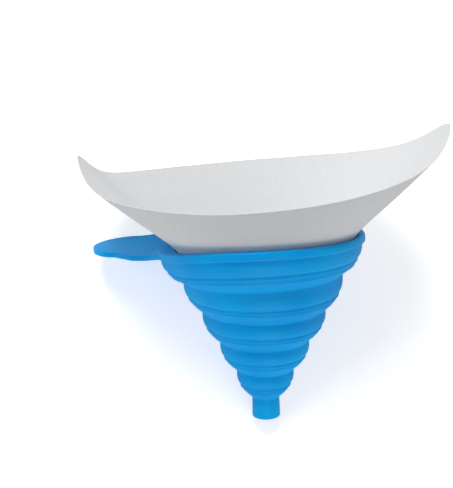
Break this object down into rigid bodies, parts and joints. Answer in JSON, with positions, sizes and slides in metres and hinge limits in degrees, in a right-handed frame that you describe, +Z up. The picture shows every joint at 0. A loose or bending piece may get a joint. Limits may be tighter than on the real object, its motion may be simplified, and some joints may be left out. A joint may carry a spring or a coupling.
{
  "type": "paint strainer",
  "caption": "Folded paper filter cone with a gauze tip, seated in a soft stepped funnel with a spout and a grip tab, for straining paint.",
  "frame": {"origin": "on the floor under the middle of the strainer as it lies on its back flank", "axes": "+Z up from the floor; +X along the mouth, away from the grip tab; +Y from the spout towards the mouth"},
  "size_m": [0.1682, 0.1334, 0.1094],
  "materials": {
    "silicone": "satin",
    "paper": "matte",
    "gauze": "matte"
  },
  "bodies": {
    "root": {"silicone_funnel": "silicone", "paper_cone": "paper", "gauze_tip": "gauze"}
  },
  "joints": []
}
